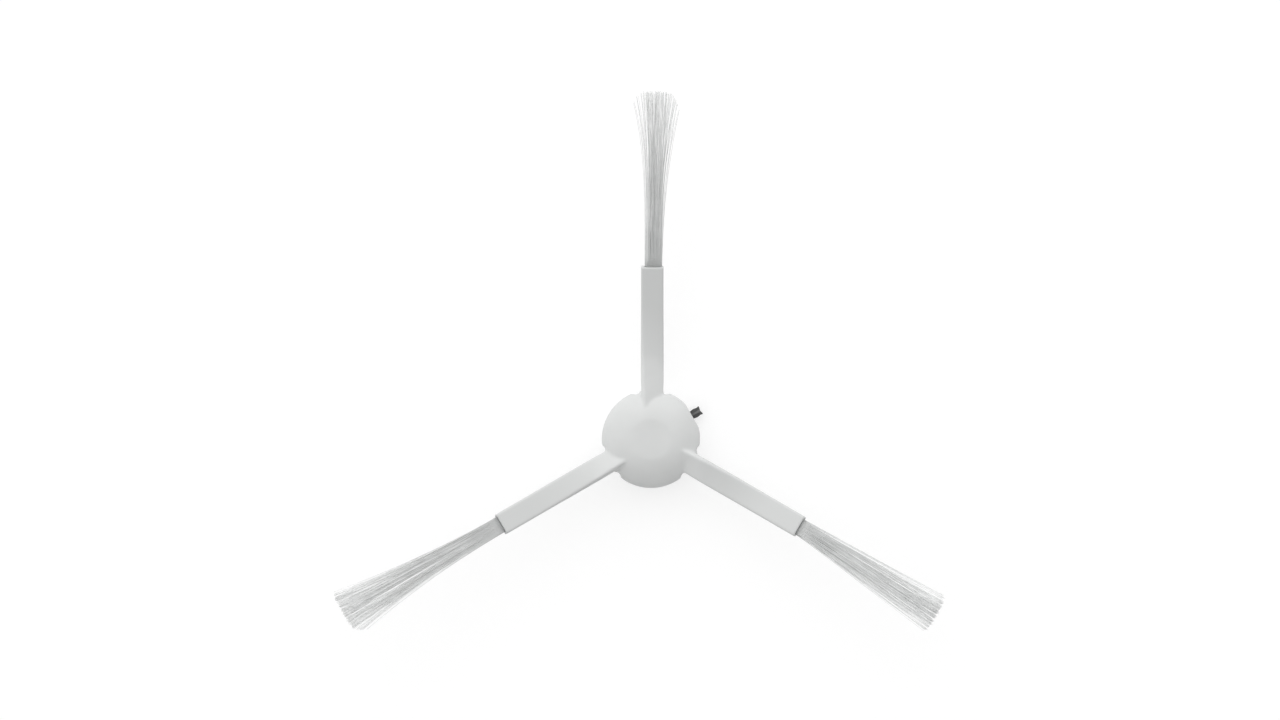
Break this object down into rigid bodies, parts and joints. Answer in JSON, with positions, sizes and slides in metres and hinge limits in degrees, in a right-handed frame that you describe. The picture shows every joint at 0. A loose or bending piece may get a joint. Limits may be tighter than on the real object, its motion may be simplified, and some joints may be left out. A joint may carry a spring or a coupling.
{
  "type": "robot vacuum side brush",
  "caption": "Sweeping side brush: a domed soft hub with twisted drooping arms, a flaring bristle tuft in each arm end and a keyed drive socket in a hard clip underneath.",
  "frame": {"origin": "on the drive axis at the mouth of the drive socket, in the plane of the skirt's foot", "axes": "+Z out of the dome, the side that faces the floor in use; +Y along the arm called top; the brush lies on its robot side"},
  "size_m": [0.1408, 0.125, 0.0263],
  "materials": {
    "soft_white": "satin moulded soft plastic",
    "dark_plastic": "satin moulded hard plastic",
    "nylon_bristle": "translucent nylon filament"
  },
  "bodies": {
    "root": {"hub_with_arms": "soft_white", "drive_clip": "dark_plastic", "bristle_tuft_top": "nylon_bristle", "bristle_tuft_left": "nylon_bristle", "bristle_tuft_right": "nylon_bristle"}
  },
  "joints": []
}
